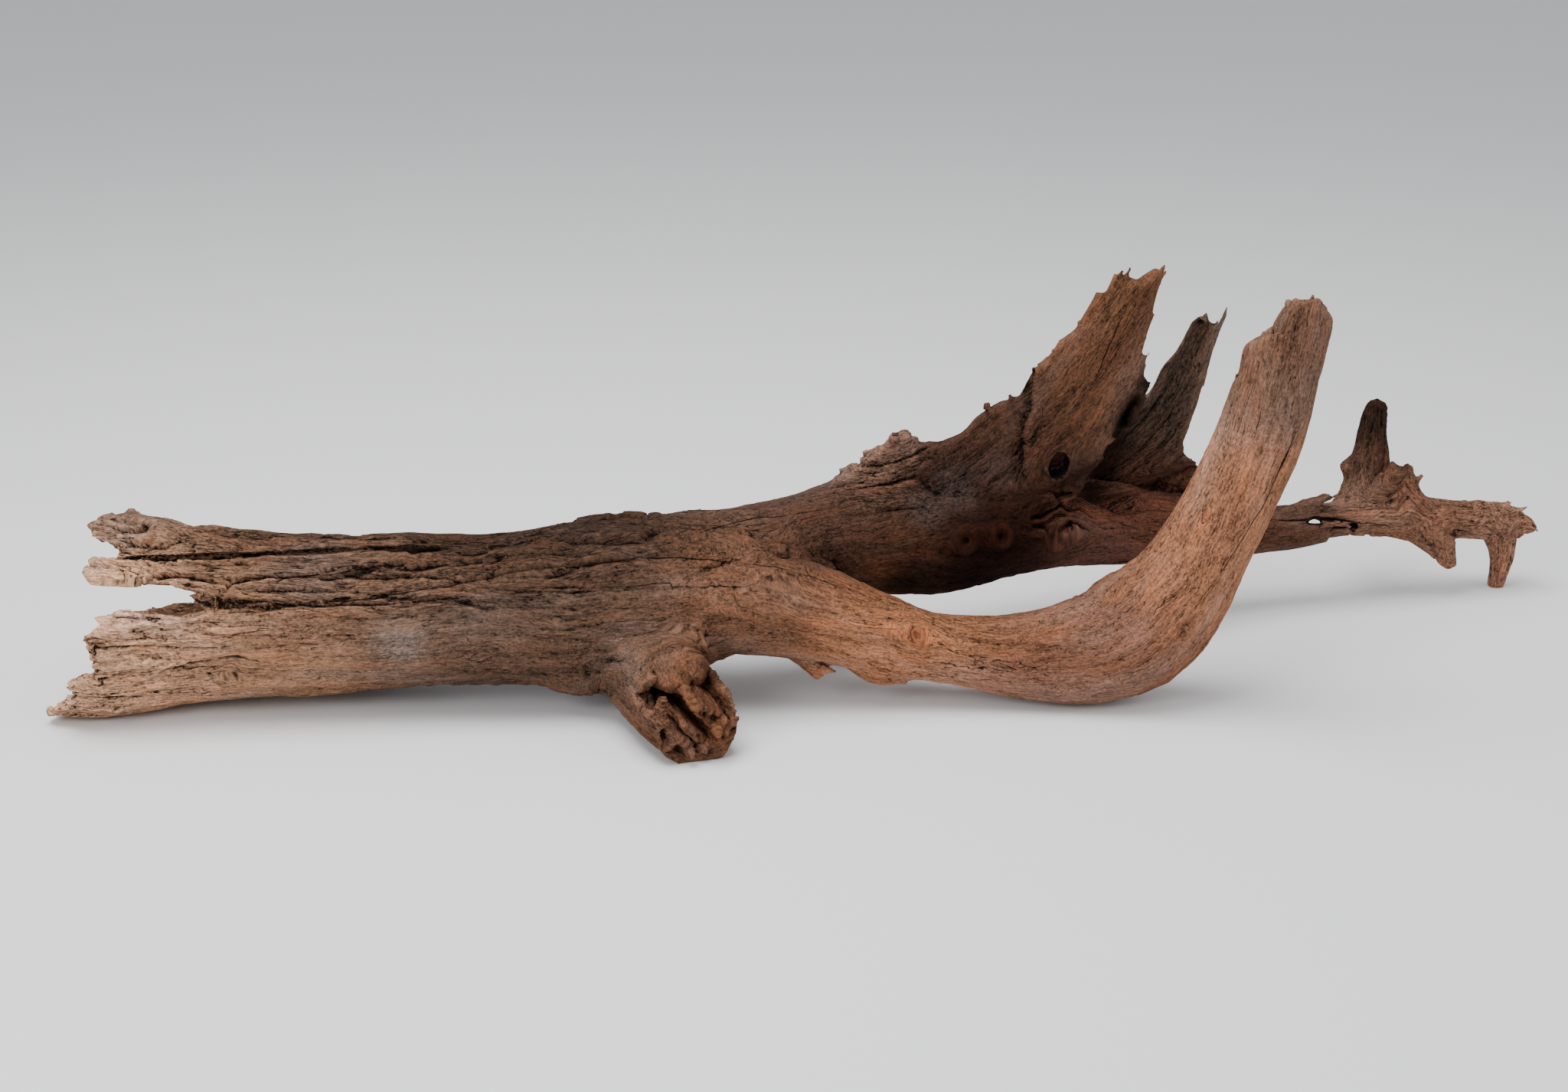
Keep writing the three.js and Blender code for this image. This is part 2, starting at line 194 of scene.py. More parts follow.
# Where it broke and rotted. Slivers of sound wood stand out along the grain on the torn ends, and
# rot has eaten slots and hollows into the weak places. Swellings fill out the stub's root and
# lip, the inner end of the gap in the log, and the twig's end.

# Each sliver: where it starts, how far it reaches, and how thick it is.
SLIVERS = [((31, -8, 228), (16, 0, 19), 7), ((150, 6, 258), (-12, 0, 14), 6),
           ((310, 44, 405), (5, 1, 7), 8), ((262, 30, 385), (-3, 0, 13), 6),
           ((316, 52, 330), (6, 3, 22), 7), ((300, 50, 262), (10, 3, 26), 8),
           ((306, 52, 250), (10, 3, 20), 6), ((312, 60, 235), (14, 4, 18), 6),
           ((165, 24, 274), (-5, 1, 10), 16), ((186, 26, 302), (-4, 1, 10), 17),
           ((208, 30, 318), (-4, 1, 10), 16), ((231, 34, 346), (-4, 1, 9), 15),
           ((142, 20, 266), (-7, 1, 8), 16), ((400, 133, 325), (4, 2, 22), 6),
           ((385, 128, 300), (-6, 0, 14), 6), ((515, 160, 118), (26, 3, 14), 8),
           ((508, 156, 112), (26, -2, 7), 6), ((606, 186, 140), (6, 0, 13), 7),
           ((620, 188, 132), (5, 0, 8), 10), ((745, 214, 92), (16, 0, 5), 6),
           ((760, 212, 78), (16, 0, -8), 7), ((418, -118, 412), (3, -1, 8), 8),
           ((394, -112, 404), (-2, 0, 10), 8), ((366, -112, 352), (-3, 0, 8), 7),
           ((-712, -62, 176), (-14, -3, 2), 10), ((-702, -140, 166), (-14, -2, -2), 9),
           ((-124, -238, 30), (3, -10, -4), 8), ((-150, -240, 14), (2, -9, -6), 8)]
SLIVER_SIDES = 5
SLIVER_RINGS = ((0.0, 1.0), (0.5, 0.85), (1.0, 0.5))    # how far up it, and how wide there
SLIVER_FLATNESS = 0.6
SLIVER_SEAT = 0.003         # it starts this far under the skin, and its foot lies deeper still
SLIVER_ROOT = 6
ANY_TURN = 6.28

# More slivers stand at random on the torn faces: on the log's end, and near the fork, where the
# slabs are. A face is torn if it is turned far enough towards the grain.
FRAYED = 130
FRAYED_REACH = (4, 10)
FRAYED_THICK = (5.5, 9)
FRAYED_LEAN = 1.2
FRAYED_SCATTER = 4
LOG_END_X, LOG_END_Z = -0.58, 0.125     # the log's end: left of the one and above the other
FORK_X, FORK_REACH, GROUND_Z = 0.12, 0.28, 0.012
SLAB_X, SLAB_Z = 0.33, 0.2
TORN_ON_SLAB, TORN_ELSEWHERE = 0.3, 0.55

# Each slot: its middle and its two radii.
SLOTS = [((511, 158, 100), 17, 7), ((556, 165, 92), 10, 5)]
SLOT_WAY = (0.24, 0.92, -0.32)
SLOT_LENGTH, SLOT_TAPER = 0.12, 0.7

# Each eaten hollow and each swelling: its middle, its three radii, and how it is turned.
HOLLOWS = [((-108, -186, 74), (27, 34, 24), (0, 0, 0)),
           ((-184, -214, 54), (15, 15, 13), (0, 0, 0)),
           ((-173, -220, 51), (15, 14, 11), (0, 0, 0)),
           ((-638, -172, 131), (28, 28, 8), (0, 0, 0)),
           ((379, -116, 402), (9, 40, 12), (0, 0, 0)),
           ((278, 45, 238), (8, 12, 46), (0, 0.4, 0))]
SWELLINGS = [((-178, -150, 78), (46, 34, 17), (0.33, 0, 0)),
             ((-168, -182, 69), (30, 24, 9), (0.33, 0, 0)),
             ((-220, -134, 54), (22, 34, 24), (0.33, 0, 0)),
             ((-262, -106, 44), (62, 43, 24), (0.33, 0, 0)),
             ((-238, -122, 56), (36, 34, 26), (0.33, 0, 0)),
             ((-597, -150, 139), (24, 24, 14), (-0.25, 0, 0)),
             ((588, 236, 193), (14, 12, 19), (-0.25, 0, 0))]
random.seed(11)


def sliver(root, reach, thick):
    """A sliver that starts in the wood nearest to root; its corners and faces."""
    seat, outward = wood.closest_point_on_mesh(Vector(root) / MM)[1:3]
    root, tip = seat - SLIVER_SEAT * outward, seat + Vector(reach) / MM
    way = (tip - root).normalized()
    side = way.orthogonal().normalized()
    side.rotate(Quaternion(way, random.uniform(0, ANY_TURN)))
    flat = way.cross(side)
    corners, faces = [], []
    for up, wide in SLIVER_RINGS:
        place = root.lerp(tip, up) if up else root - SLIVER_ROOT * way / MM
        for k in range(SLIVER_SIDES):
            turn = 2 * math.pi * k / SLIVER_SIDES
            out = math.cos(turn) * side + SLIVER_FLATNESS * math.sin(turn) * flat
            corners.append(place + wide * thick / (2 * MM) * out)
    for ring in (0, SLIVER_SIDES):
        for k in range(SLIVER_SIDES):
            n = (k + 1) % SLIVER_SIDES
            faces.append((ring + k, ring + n, ring + n + SLIVER_SIDES, ring + k + SLIVER_SIDES))
    faces.append(tuple(reversed(range(SLIVER_SIDES))))
    faces.append(tuple(range(2 * SLIVER_SIDES, 3 * SLIVER_SIDES)))
    return corners, faces


def ball(place, radii, turned):
    """An egg of wood, or the shape of a hollow, at its place."""
    bpy.ops.mesh.primitive_uv_sphere_add(radius=1 / MM, location=Vector(place) / MM)
    made = bpy.context.object
    made.scale = radii
    made.rotation_euler = turned
    return made


def eat_away(shape):
    """Takes a shape out of the wood and removes it."""
    eaten = wood.modifiers.new("eaten", "BOOLEAN")
    eaten.operation = "DIFFERENCE"
    eaten.object = shape
    bpy.context.view_layer.objects.active = wood
    bpy.ops.object.modifier_apply(modifier="eaten")
    bpy.data.objects.remove(shape)


surface = wood.data
centres = np.array([face.center for face in surface.polygons])
facing = np.array([face.normal for face in surface.polygons])
areas = np.array([face.area for face in surface.polygons])
ways = grain_and_limbs(centres)[1]
ends = (facing * ways).sum(1)
x, z = centres[:, 0], centres[:, 2]
on_slab = (z > SLAB_Z) & (x < SLAB_X)
on_log_end = x < LOG_END_X
near_the_fork = abs(x - FORK_X) < FORK_REACH
torn_edge = abs(ends) > np.where(on_slab, TORN_ON_SLAB, TORN_ELSEWHERE)
high_enough = z > np.where(on_log_end, LOG_END_Z, GROUND_Z)
broken = np.where(torn_edge & high_enough & (on_log_end | near_the_fork))[0]
picked = random.choices(list(broken), weights=list(areas[broken]), k=FRAYED)
frayed = [sliver(*three) for three in SLIVERS]
for face in picked:
    out = Vector(ways[face]) * (1 if ends[face] > 0 else -1)
    lean = Vector((random.uniform(-1, 1), random.uniform(-1, 1), random.uniform(-1, 1)))
    root = Vector(centres[face]) * MM + FRAYED_SCATTER * lean
    reach = out * random.uniform(*FRAYED_REACH) + FRAYED_LEAN * lean
    frayed.append(sliver(root, reach, random.uniform(*FRAYED_THICK)))
corners, faces = [], []
for points, sides in frayed:
    faces += [tuple(len(corners) + k for k in side) for side in sides]
    corners += points
mesh = bpy.data.meshes.new("slivers")
mesh.from_pydata(corners, [], faces)
slivers = bpy.data.objects.new("slivers", mesh)
bpy.context.scene.collection.objects.link(slivers)

for place, wide, high in SLOTS:
    bpy.ops.mesh.primitive_cone_add(vertices=3, radius1=1 / MM, radius2=SLOT_TAPER / MM,
                                    depth=SLOT_LENGTH, location=Vector(place) / MM)
    slot = bpy.context.object
    slot.scale = (wide, high, 1)
    slot.rotation_euler = Vector(SLOT_WAY).to_track_quat("Z", "Y").to_euler()
    eat_away(slot)
for place, radii, turned in HOLLOWS:
    eat_away(ball(place, radii, turned))

bpy.ops.object.select_all(action="DESELECT")
swellings = [ball(place, radii, turned) for place, radii, turned in SWELLINGS]
for part in swellings + [slivers, wood]:
    part.select_set(True)
bpy.context.view_layer.objects.active = wood
bpy.ops.object.join()
skin = wood.modifiers.new("skin", "REMESH")
skin.mode = "VOXEL"
skin.voxel_size = SKIN_CELL
bpy.ops.object.modifier_apply(modifier="skin")
bpy.ops.object.mode_set(mode="EDIT")
bpy.ops.mesh.select_all(action="SELECT")
bpy.ops.mesh.separate(type="LOOSE")
bpy.ops.object.mode_set(mode="OBJECT")
crumbs = sorted(bpy.context.selected_objects, key=lambda part: len(part.data.vertices))
wood = crumbs.pop()
for crumb in crumbs:
    bpy.data.objects.remove(crumb)
wood.name = "weathered_wood"
bpy.context.view_layer.objects.active = wood


# How it wore round. The facets are rubbed away, and most of all where the stub grew out of the
# trunk. A torn edge, a crack's lip or a thin slab's rim stays sharp, because a point whose
# neighbours face other ways is left where it is.
STEADY = (0.90, 0.975)      # how alike the neighbours face, where nothing and all is rubbed
STEADY_TURNS, WORN_TURNS = 8, 3
LEVELS = 20
RUB_SHARE = 0.6

# Round the stub's root: a place, and from how far off to how near the rubbing grows.
STUB_ROOTS = [((-190, -132, 90), (0.082, 0.050)), ((-252, -130, 48), (0.075, 0.045))]
# Each rub: its name, the group of points that it works on, and its turns.
RUBS = (("facets", "worn", 110), ("root", "crotch", 260), ("steps", "", 2))


def rise(low, high, value):
    """0 below low, 1 above high, and smooth between; low may be the greater of the two."""
    t = np.clip((value - low) / (high - low), 0, 1)
    return t * t * (3 - 2 * t)


def eased(values, edges, turns):
    """Each vertex's values, made the mean of its neighbours' values, turn after turn."""
    values = values.reshape(len(values), -1).copy()
    a, b = edges[:, 0], edges[:, 1]
    number = np.maximum(np.bincount(a, minlength=len(values))
                        + np.bincount(b, minlength=len(values)), 1)[:, None]
    for turn in range(turns):
        total = np.stack([np.bincount(a, column[b], len(values))
                          + np.bincount(b, column[a], len(values)) for column in values.T], 1)
        values += total / number - values
    return values


def distance(points, place):
    """How far the points are from a place that is listed in millimetres."""
    return np.linalg.norm(points - np.array(place) / MM, axis=1)


def group_of(name, strengths):
    """A vertex group of the wood, with its strengths from 0 to 1 kept in levels."""
    group = wood.vertex_groups.new(name=name)
    for level in range(1, LEVELS + 1):
        same = np.where(np.round(strengths * LEVELS) == level)[0]
        group.add(same.tolist(), level / LEVELS, "REPLACE")


points, normals, edges = read_mesh(wood.data)
steady = np.linalg.norm(eased(normals, edges, STEADY_TURNS), axis=1)
group_of("worn", eased(rise(*STEADY, steady), edges, WORN_TURNS)[:, 0])
group_of("crotch", np.maximum(*[rise(*reach, distance(points, place))
                                for place, reach in STUB_ROOTS]))
for name, within, turns in RUBS:
    rub = wood.modifiers.new(name, "SMOOTH")
    rub.factor = RUB_SHARE
    rub.iterations = turns
    rub.vertex_group = within
    bpy.ops.object.modifier_apply(modifier=name)
wood.vertex_groups.clear()


# What the weather did. The grain is bent round the knots, and the wood is sunk along it: broad
# swellings, flutes, lifted plates with splintered ends, fissures, and fine fibres. All of it is
# deeper where the wood is rotten: on the trunk's top, its broken end, the far limb and the stub.

# Each knot: its place, its size, and how far its rings stand out.
KNOTS = [((65, -128, 86), 13, 0.4), ((119, -27, 145), 12, 0.7), ((156, -10, 143), 10, 0.7),
         ((221, 22, 133), 17, 0.12), ((-592, -162, 55), 10, 0.3), ((213, 18, 207), 17, 0.2),
         ((-120, 10, 150), 16, 0.5), ((330, -60, 120), 12, 0.6), ((480, 190, 95), 10, 0.4),
         ((-430, 0, 90), 18, 0.5), ((-250, 5, 60), 13, 0.7)]
RING_HIGH, PITH_DEEP = 0.0030, 0.0036
RING_WIDE, PITH_WIDE = 0.45, 0.55       # as shares of the knot's size, like the two below
KNOT_PULL, RING_SPAN, RING_TURN = (5, 2), (1.6, 0.7), 0.8
LUMP, LUMP_SHARE = (0.014, 0.014, 34), 0.22
LEAST = 1e-6                # keeps a division from meeting zero

# Each crack: where it runs, how wide it gapes, and how deep it cuts.
CRACKS = [([(-690, -150, 172), (-636, -136, 168), (-560, -118, 165), (-482, -104, 163),
            (-410, -93, 163), (-366, -88, 163)], 2.4, 6),
          ([(-555, -150, 148), (-491, -135, 151), (-426, -121, 154)], 1.6, 4),
          ([(-600, -172, 127), (-560, -165, 129), (-460, -151, 132), (-402, -140, 137),
            (-348, -130, 142), (-303, -127, 149), (-241, -127, 157), (-180, -122, 163),
            (-114, -109, 152)], 1.3, 1.2),
          ([(-177, -105, 176), (-115, -67, 176), (-68, -52, 180), (-21, -39, 184)], 1.1, 0.6),
          ([(418, -132, 310), (397, -134, 245), (384, -133, 211), (356, -137, 161),
            (327, -140, 113)], 0.9, 0.6),
          ([(-231, -137, 142), (-147, -131, 135), (-88, -119, 132)], 1.0, 0.5),
          ([(-243, -147, 121), (-189, -145, 122)], 1.0, 0.5),
          ([(-112, -107, 149), (-75, -101, 142), (-38, -109, 135), (-2, -117, 123)], 1.0, 0.4),
          ([(462, 140, 108), (500, 148, 106), (535, 158, 102), (585, 168, 96)], 2.4, 5),
          ([(505, 150, 96), (540, 158, 92), (566, 164, 90)], 1.5, 3),
          ([(-380, -110, 168), (-330, -100, 170), (-280, -96, 173)], 1.8, 4),
          ([(-500, -140, 152), (-440, -128, 156), (-385, -118, 160)], 1.2, 2),
          ([(-700, -174, 140), (-650, -168, 139), (-610, -166, 138)], 1.2, 2),
          ([(-330, -100, 172), (-270, -88, 176), (-215, -84, 178)], 1.3, 2),
          ([(-130, -146, 78), (-112, -140, 74)], 1.4, 1),
          ([(60, -138, 62), (110, -140, 52), (165, -140, 44)], 1.0, 1),
          ([(75, -136, 76), (130, -139, 62), (190, -142, 50)], 0.9, 1),
          ([(215, 8, 300), (200, 8, 270), (190, 8, 240)], 1.0, 1),
          ([(282, 30, 380), (262, 30, 335), (246, 30, 290)], 1.0, 1),
          ([(130, 2, 186), (150, 4, 196), (172, 8, 206)], 1.2, 2)]
CRACK_WANDER, WANDER, WANDER_SEEDS = 0.0022, (0.03, 0.02), (31, 32, 33)
GAPE_SHARE = 0.5
CRACK_REACH = 0.016         # a crack cuts no surface that is further above or below it than this
CRACK_TAPER = 0.035         # the length over which its ends narrow, to a share of its width
CRACK_TIP, CRACK_NARROWS = 0.04, 0.6
CRACK_SLOPE = 4e-4
FAR_ASIDE = 9.0
LINE_SEEN = (0.007, 0.004)  # how far from a crack its dark line of painted shade is looked for

# Each insect hole: its place, how wide, and how deep it goes.
INSECT_HOLES = [((-614, -165, 56), 3.2, 5), ((-700, -160, 96), 2.4, 4),
                ((-592, -164, 52), 3.5, 4), ((-240, -150, 84), 2.2, 3),
                ((570, 168, 95), 2.4, 3)]
HOLE_RIM = (1.0, 0.65)

# The knot hole through the front slab: its place in x and z, and its painted shade inside in
# radius and y.
KNOT_HOLE_X, KNOT_HOLE_Z, KNOT_HOLE_TALL = 0.213, 0.207, 0.8
KNOT_HOLE_RIM = (0.0135, 0.0105)
KNOT_HOLE_MOUTH, KNOT_HOLE_END = (0.016, 0.022), (0.135, 0.120)
SLAB_FACE = -0.75           # what faces forwards more than this is the slab's own face

# Places that are rotten besides, and how far: the flaky shoulder, the wood beside and under the
# knot hole, and the log's lower lobe.
ROTTEN = (((31, -5, 224), 55), ((188, 20, 225), 26), ((221, 22, 150), 30),
          ((-640, -170, 120), 60))
ROT_ENDS, ROT_FULL = 0.7, 1.6       # the reach is divided by these
# The wood is sound and calm where it flows into the stub.
STUB_SEAT, STUB_CALM, CHECK_CALM = (-185, -140, 88), (0.095, 0.055), 0.7
FULL_GIRTH = 0.055          # a limb this thick is worked at full depth, and a thinner one less
GIRTH_LIMITS = (0.4, 1.1)
THIN_SLAB, THIN_REAR_SLAB = 0.40, 0.45

# Patterns in the wood: their length along the grain and width across it in metres, and seed.
PATTERNS = {"broad swell": (0.17, 0.05, 6), "narrow swell": (0.08, 0.024, 7),
            "flutes": (0.15, 0.014, 8), "fibres": (0.045, 0.0048, 9),
            "plates": (0.085, 0.026, 10), "plate edges": (0.03, 0.006, 11),
            "small plates": (0.06, 0.015, 12), "small plate edges": (0.025, 0.005, 13),
            "splits": (0.30, 0.019, 14), "where it split": (0.11, 0.05, 15),
            "checks": (0.16, 0.008, 16), "where it checked": (0.07, 0.03, 17),
            "ripples": (0.009, 0.045, 18), "pocks": (0.010, 0.007, 21),
            "scales": (0.020, 0.008, 22), "scale edges": (0.007, 0.004, 23),
            "fine tears": (0.5, 0.0055, 19), "broad tears": (0.5, 0.015, 20),
            "ragged top": (0.2, 0.04, 5), "gape": (0.014, 0.05, 36)}
# How deep each one works: in sound wood, and how much more in rotten wood.
DEPTHS = {"flutes": (0.0010, 0.0022), "fibres": (0.0005, 0.0004), "plates": (0.0009, 0.0022),
          "small plates": (0.0004, 0.0016), "splits": (0.0008, 0.0065),
          "checks": (0.0006, 0.0022)}
# How high a pattern has to be, where its form begins and where it is full.
STEPS = {"flutes": (0, 0.40), "plates": (0.02, 0.12), "small plates": (0.05, 0.15),
         "splits": (0.02, 0.13), "where it split": (-0.15, 0.2), "checks": (0.01, 0.10),
         "where it checked": (0.0, 0.3), "scales": (-0.1, 0.25)}
EDGE_SHARE, SCALE_EDGE_SHARE = 0.35, 0.4
BROAD_SWELL, NARROW_SWELL, POCK_DEEP, SCALE_DEEP = 0.0042, 0.0018, 0.0005, 0.0007
BROAD_BEND, NARROW_BEND = (0.11, 0.05), (0.035, 0.02)
BROAD_SWAY, NARROW_SWAY = 0.005, 0.0015
PLUMP, ROT_PLUMP = 0.0008, 0.0046   # raised first, so that what is sunk leaves the wood its size

# Spans of x or z, from where a form begins to where it is full, and how high or deep it is.
ROTTEN_TOP_X, UPWARD, RAGGED = (-0.05, -0.30), (0.05, 0.55), 0.25
ROTTEN_END_X, ROTTEN_END = (-0.55, -0.72), 0.5
ROTTEN_LIMB_X, ROTTEN_LIMB = (0.45, 0.56), 0.7
ROTTEN_REAR_SLAB, ROTTEN_STUB = 0.5, 0.35
TRUNK_TOP_X, BRANCH_X = ((-0.32, -0.16), (0.08, 0.0)), (0.12, 0.24)
BRANCH_TOP_X, BRANCH_UPWARD = ((-0.03, 0.03), (0.13, 0.07)), (0.2, 0.8)
TRUNK_TOP_LIFT, BRANCH_LIFT, BRANCH_TOP_WORN = 0.0042, 0.0030, 0.009
LAP_X, LAP_WANDER, LAP_SOFT, LAP_NOISE = 0.183, 0.012, 0.004, (0.03, 0.03, 35)
LAP_Z, LAP_STEEP_Z = (0.18, 0.21), (0.19, 0.23)
LAP_STEP, LAP_STEP_AT = 0.0095, ((0.5, -0.5), (-7, -0.5))
LAP_LIFT, LAP_LIFT_AT = 0.0030, ((-0.5, 0.5), (5, 0.5))
SHELL_X, SHELL_DEEP, DOWNWARD = ((0.527, 0.533), (0.64, 0.57)), 0.009, (0.3, -0.3)
RIPPLES_X, RIPPLE_HIGH = ((-0.36, 0.10), (0.10, 0.07)), 0.0009  # each one's middle and reach
TEAR_LENGTH, TEAR_MIDDLE, FINE_TEARS, BROAD_TEARS = 0.010, 0.26, 0.45, 0.35
TEAR_GIRTH, MOST_TORN, FACING_TURNS = 1.4, 1.8, 6
GROUND_CALM = (0.001, 0.012)        # nothing is sunk where the wood rests on the ground
SEED_STEP = 17.31           # this and the next scatter the noise
HASH = (374761393, 668265263, 1911520717, 1274126177)


def rough(grain, length, width, seed):
    """Smooth noise from -1 to 1, long along the grain and narrow across it."""
    at = grain / (length, width, width) + seed * SEED_STEP
    cell = np.floor(at).astype(np.int64)
    f = at - cell
    f = f * f * f * (f * (f * 6 - 15) + 10)
    total = 0
    for corner in range(8):
        dx, dy, dz = corner & 1, corner >> 1 & 1, corner >> 2 & 1
        mix = (cell[:, 0] + dx) * HASH[0] + (cell[:, 1] + dy) * HASH[1] \
            + (cell[:, 2] + dz) * HASH[2] + seed * HASH[3]
        mix = ((mix ^ (mix >> 13)) * HASH[3]) & 0xFFFFFFFF
        mix = (mix ^ (mix >> 16)) & 0xFFFF
        share = (f[:, 0] if dx else 1 - f[:, 0]) * (f[:, 1] if dy else 1 - f[:, 1]) \
            * (f[:, 2] if dz else 1 - f[:, 2])
        total = total + share * (mix / 32767.5 - 1)
    return total


def beside_cracks(points, normals, grain):
    """How deep the cracks cut, and for a thin dark line of painted shade along each crack: the way
    to it in half widths, and 1 where it is near."""
    wander = np.stack([rough(grain, *WANDER, seed) for seed in WANDER_SEEDS], 1) * CRACK_WANDER
    gape = 1 + GAPE_SHARE * rough(grain, *PATTERNS["gape"])
    opened, aside = np.zeros(len(points)), np.full(len(points), FAR_ASIDE)
    nearest = np.full(len(points), 1.0)
    for path, wide, deep in CRACKS:
        path = np.array(path) / MM
        done, whole = 0.0, np.linalg.norm(np.diff(path, axis=0), axis=1).sum()
        for first, last in zip(path[:-1], path[1:]):
            length = np.linalg.norm(last - first)
            along = (last - first) / length
            offset = points + wander - first
            run = np.clip(offset @ along, 0, length)
            offset -= run[:, None] * along
            depth = (offset * normals).sum(1)
            across = offset - depth[:, None] * normals
            away = np.linalg.norm(across, axis=1)
            side = np.sign((across * np.cross(along, normals)).sum(1))
            to_end = np.minimum(done + run, whole - (done + run))
            taper = np.clip(to_end / CRACK_TAPER, CRACK_TIP, 1) ** CRACK_NARROWS
            half = wide / (2 * MM) * taper * gape
            here = abs(depth) < CRACK_REACH
            lips = np.exp(-(away / (2 * half + CRACK_SLOPE)) ** 2)
            opened = np.maximum(opened, here * deep / MM * taper * lips)
            closer = here & (away < nearest)
            nearest = np.where(closer, away, nearest)
            aside = np.where(closer, side * away / half, aside)
            done += length
    return opened, aside, rise(*LINE_SEEN, nearest)


points, normals, edges = read_mesh(wood.data)
grain, way, girth, share = grain_and_limbs(points)
unbent = grain.copy()
opened = beside_cracks(points, normals, grain)[0]
# Painted shade inside the knot hole, on its walls behind the slab's own face.
tunnel = np.hypot(points[:, 0] - KNOT_HOLE_X, (points[:, 2] - KNOT_HOLE_Z) * KNOT_HOLE_TALL)
knot_and_insect_hole_shade = rise(*KNOT_HOLE_RIM, tunnel) * rise(*KNOT_HOLE_END, points[:, 1]) \
    * (normals[:, 1] > SLAB_FACE) * rise(*KNOT_HOLE_MOUTH, points[:, 1])
lump = 1 + LUMP_SHARE * rough(points, *LUMP)
rings = np.zeros(len(points))
knot_grains = grain_and_limbs(np.array([place for place, size, ring in KNOTS], float) / MM)[0]
# Round a knot the fibres part, within a few of its sizes. Its rings stand up and its pith is sunk.
for wood_at, (place, size, ring) in zip(knot_grains, KNOTS):
    size = size / MM
    away = distance(points, place) * lump
    pull = np.minimum((size / np.maximum(away, LEAST)) ** 2, 1) \
        * rise(KNOT_PULL[0] * size, KNOT_PULL[1] * size, away)
    grain[:, 1:] -= pull[:, None] * (grain[:, 1:] - wood_at[1:])
    grain[:, 1] += RING_TURN * ring * away \
        * rise(RING_SPAN[0] * size, RING_SPAN[1] * size, away)
    rings += ring * (RING_HIGH * np.exp(-((away - size) / (RING_WIDE * size)) ** 2)
                     - PITH_DEEP * np.exp(-(away / (PITH_WIDE * size)) ** 2))
# Each insect hole is bored into the wood, and its inside gets painted shade.
for place, across, deep in INSECT_HOLES:
    bore = rise(*HOLE_RIM, distance(points, place) * lump / (across / MM))
    opened = np.maximum(opened, bore * deep / MM)
    knot_and_insect_hole_shade = np.maximum(knot_and_insect_hole_shade, bore)
for column, seed in ((1, 1), (2, 3)):
    grain[:, column] += BROAD_SWAY * rough(grain, *BROAD_BEND, seed) \
        + NARROW_SWAY * rough(grain, *NARROW_BEND, seed + 1)


def pattern(name):
    """A named pattern at each point of the bent grain."""
    return rough(grain, *PATTERNS[name])


x, z = points[:, 0], points[:, 2]
girth_share = np.clip(girth / FULL_GIRTH, *GIRTH_LIMITS) \
    * (1 - THIN_SLAB * share["slab"] - THIN_REAR_SLAB * share["rear slab"])
top = rise(*UPWARD, normals[:, 2] + RAGGED * pattern("ragged top"))
rotten = rise(*ROTTEN_TOP_X, x) * top
rotten += ROTTEN_END * rise(*ROTTEN_END_X, x)
rotten += ROTTEN_LIMB * rise(*ROTTEN_LIMB_X, x)
rotten += ROTTEN_REAR_SLAB * share["rear slab"]
rotten += ROTTEN_STUB * share["stub"]
rotten = np.clip(rotten, 0, 1)
for place, reach in ROTTEN:
    rotten = np.maximum(rotten, rise(reach / (ROT_ENDS * MM), reach / (ROT_FULL * MM),
                                     distance(points, place)))
flowing = rise(*STUB_CALM, distance(points, STUB_SEAT))
rotten *= 1 - flowing
sound = 1 - rotten


def step(name, height):
    """The form that begins and fills out as its pattern rises through its step."""
    return rise(*STEPS[name], height)


swell = BROAD_SWELL * pattern("broad swell") + NARROW_SWELL * pattern("narrow swell")
flute = step("flutes", abs(pattern("flutes"))) - 1
plate = step("plates", pattern("plates") + EDGE_SHARE * pattern("plate edges"))
small_plate = step("small plates",
                   pattern("small plates") + EDGE_SHARE * pattern("small plate edges"))
split = 1 - step("splits", abs(pattern("splits")))
split *= step("where it split", pattern("where it split")) * (1 - flowing)
check = 1 - step("checks", abs(pattern("checks")))
check *= step("where it checked", pattern("where it checked")) * (1 - CHECK_CALM * flowing)
scale = step("scales", pattern("scales") + SCALE_EDGE_SHARE * pattern("scale edges"))


def worked(name, relief):
    """A relief at its depth, which is greater in rotten wood."""
    deep, deeper = DEPTHS[name]
    return (deep + deeper * rotten) * relief


sink = swell + PLUMP + ROT_PLUMP * rotten + worked("flutes", flute) \
    + worked("fibres", pattern("fibres"))
sink -= worked("plates", plate)
sink -= worked("small plates", small_plate)
sink -= worked("splits", split) + worked("checks", check)
sink += TRUNK_TOP_LIFT * top * rise(*TRUNK_TOP_X[0], x) * rise(*TRUNK_TOP_X[1], x)
sink += BRANCH_LIFT * share["front"] * rise(*BRANCH_X, x)
sink -= BRANCH_TOP_WORN * share["front"] * rise(*BRANCH_TOP_X[0], x) \
    * rise(*BRANCH_TOP_X[1], x) * rise(*BRANCH_UPWARD, normals[:, 2])
sink += rings + POCK_DEEP * pattern("pocks") - SCALE_DEEP * scale

# The front slab's left edge laps over the wood behind it in a ragged step.
lap = (x - LAP_X - LAP_WANDER * rough(points, *LAP_NOISE)) / LAP_SOFT
lap *= 0.5 + 0.5 * rise(*LAP_STEEP_Z, z)
sink -= LAP_STEP * share["slab"] * rise(*LAP_STEP_AT[0], lap) * rise(*LAP_STEP_AT[1], lap) \
    * rise(*LAP_Z, z)
sink += LAP_LIFT * share["slab"] * rise(*LAP_LIFT_AT[0], lap) * rise(*LAP_LIFT_AT[1], lap) \
    * rise(*LAP_Z, z)

# The far limb is a shell, worn away underneath, and the grain is rippled in two places.
shell = rise(*SHELL_X[0], x) * rise(*SHELL_X[1], x) * rise(*DOWNWARD, normals[:, 2])
sink -= SHELL_DEEP * shell * share["back"]
ripple = sum(np.exp(-((x - middle) / reach) ** 2) for middle, reach in RIPPLES_X)
sink += RIPPLE_HIGH * ripple * sound * pattern("ripples")

